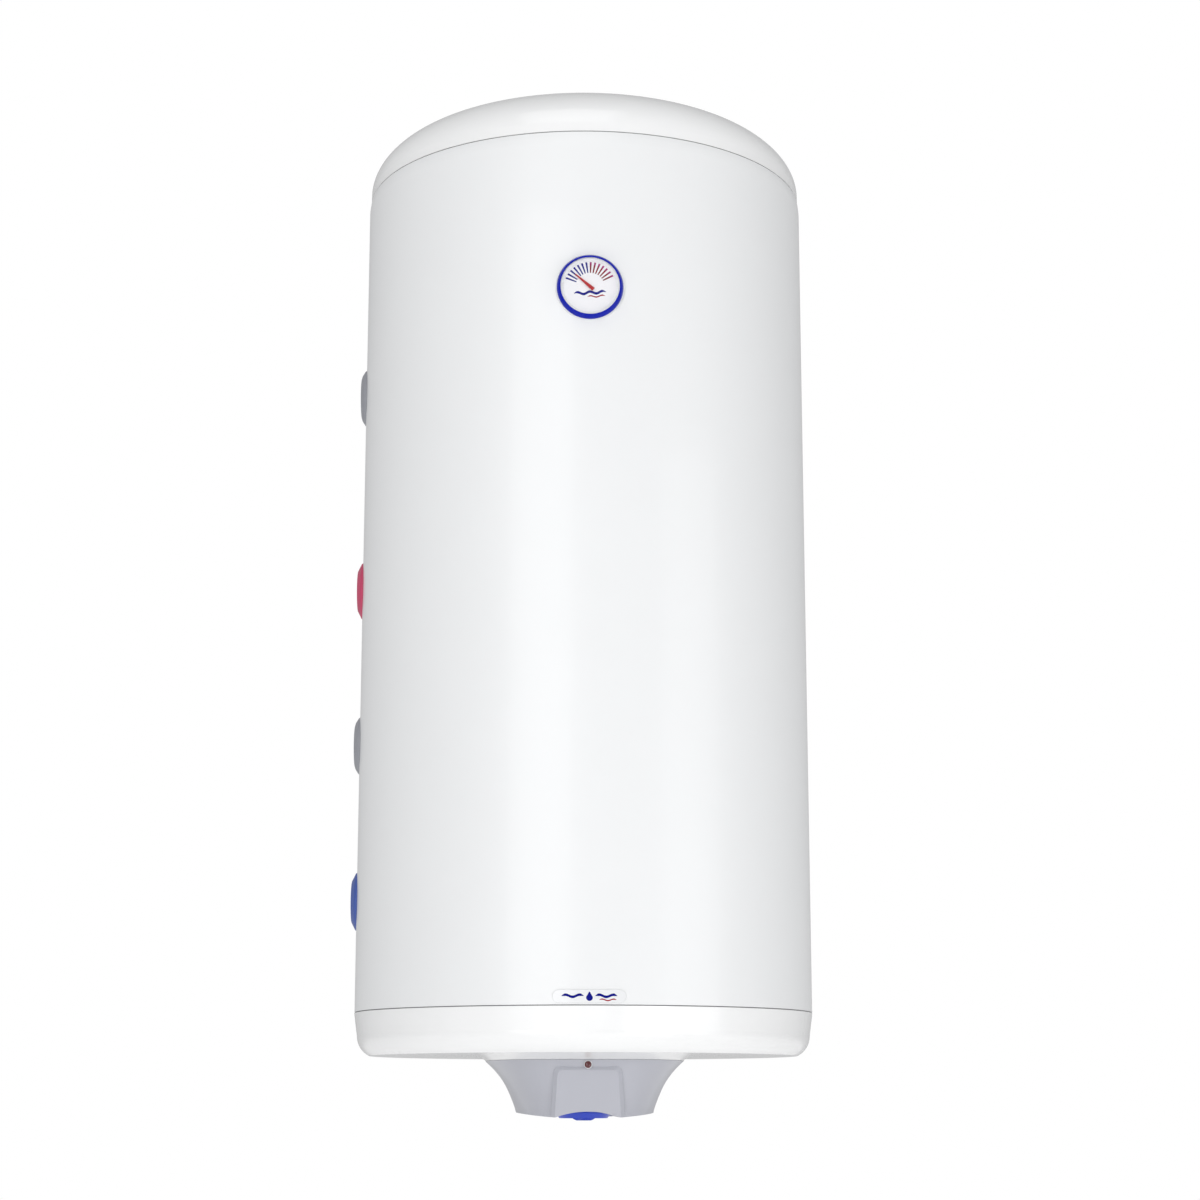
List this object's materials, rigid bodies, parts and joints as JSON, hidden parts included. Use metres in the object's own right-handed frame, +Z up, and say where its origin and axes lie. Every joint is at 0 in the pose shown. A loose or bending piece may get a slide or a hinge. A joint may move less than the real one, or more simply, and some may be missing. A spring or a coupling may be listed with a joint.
{
  "type": "tank water heater",
  "caption": "Upright cylindrical wall-hung storage water heater with temperature gauge, side connections with rosettes, heat-exchanger coil and a control cover with knob underneath.",
  "frame": {"origin": "centre of the upper bracket's bolt line, on the wall plane", "axes": "+Z up along the tank, -Y out of the wall towards the front, +X to the right seen from the front"},
  "size_m": [0.4654, 0.4844, 1.034],
  "materials": {
    "white_enamel_paint": "gloss",
    "white_abs": "gloss",
    "seal_rubber": "matte",
    "polyurethane_foam": "matte",
    "enamelled_steel": "satin",
    "zinc_steel": "satin",
    "epdm_rubber": "matte",
    "copper": "satin",
    "magnesium": "matte",
    "stainless_tube": "satin",
    "thermostat_plastic": "satin",
    "knob_blue": "gloss",
    "reset_red": "satin",
    "terminal_cream": "satin",
    "wire_insulation": "satin",
    "black_nylon": "satin",
    "cover_grey": "satin",
    "lamp_ring_clear": "gloss",
    "lamp_red": "gloss",
    "rosette_grey": "satin",
    "rosette_red": "satin",
    "rosette_blue": "satin",
    "socket_steel": "satin",
    "bracket_paint": "satin",
    "gauge_white": "gloss",
    "gauge_ring_blue": "gloss",
    "gauge_glass": "gloss",
    "dial_card": "satin",
    "needle_red": "satin",
    "brass": "satin",
    "bimetal_strip": "satin",
    "badge_face": "gloss"
  },
  "bodies": {
    "root": {"outer_casing": "white_enamel_paint", "top_cap": "white_abs", "bottom_cap": "white_abs", "upper_seam_seal": "seal_rubber", "lower_seam_seal": "seal_rubber", "insulation_foam": "polyurethane_foam", "tank_shell": "enamelled_steel", "tank_top_head": "enamelled_steel", "tank_bottom_head": "enamelled_steel", "flange_neck": "enamelled_steel", "flange_studs": "zinc_steel", "flange_gasket": "epdm_rubber", "flange_plate": "zinc_steel", "flange_nuts": "zinc_steel", "heating_element": "copper", "anode_rod": "magnesium", "anode_nut": "zinc_steel", "thermostat_pocket": "stainless_tube", "thermostat_body": "thermostat_plastic", "terminal_block": "terminal_cream", "lead_wires": "wire_insulation", "cable_gland": "black_nylon", "control_cover": "cover_grey", "cover_screws": "zinc_steel", "lamp_ring": "lamp_ring_clear", "lamp_lens": "lamp_red", "coil_flow_socket": "socket_steel", "hot_outlet_socket": "socket_steel", "coil_return_socket": "socket_steel", "cold_inlet_socket": "socket_steel", "coil_flow_rosette": "rosette_grey", "hot_outlet_rosette": "rosette_red", "coil_return_rosette": "rosette_grey", "cold_inlet_rosette": "rosette_blue", "heat_exchanger_coil": "enamelled_steel", "hot_outlet_pipe": "stainless_tube", "cold_inlet_pipe": "stainless_tube", "upper_bracket": "bracket_paint", "lower_bracket": "bracket_paint", "gauge_cup": "gauge_white", "gauge_ring": "gauge_ring_blue", "gauge_lens": "gauge_glass", "gauge_inner_ring": "gauge_white", "gauge_dial": "dial_card", "gauge_stem": "brass", "gauge_bimetal": "bimetal_strip", "name_badge": "badge_face"},
    "knob": {"thermostat_knob": "knob_blue", "thermostat_shaft": "zinc_steel"},
    "needle": {"gauge_needle": "needle_red", "gauge_spindle": "brass"},
    "reset": {"reset_button": "reset_red"}
  },
  "joints": [
    {"name": "knob_turn", "type": "hinge", "parent": "root", "child": "knob", "pos_m": [0, -0.248, -0.804], "axis": [0, 0, 1], "range_deg": [0, 270]},
    {"name": "needle_turn", "type": "hinge", "parent": "root", "child": "needle", "pos_m": [0, -0.48, -0.0162], "axis": [0, -1, 0], "range_deg": [-112, 20]},
    {"name": "reset_push", "type": "slide", "parent": "root", "child": "reset", "axis": [0, 0, 1], "range_m": [0, 0.0015], "stiffness_N_per_m": 400}
  ]
}
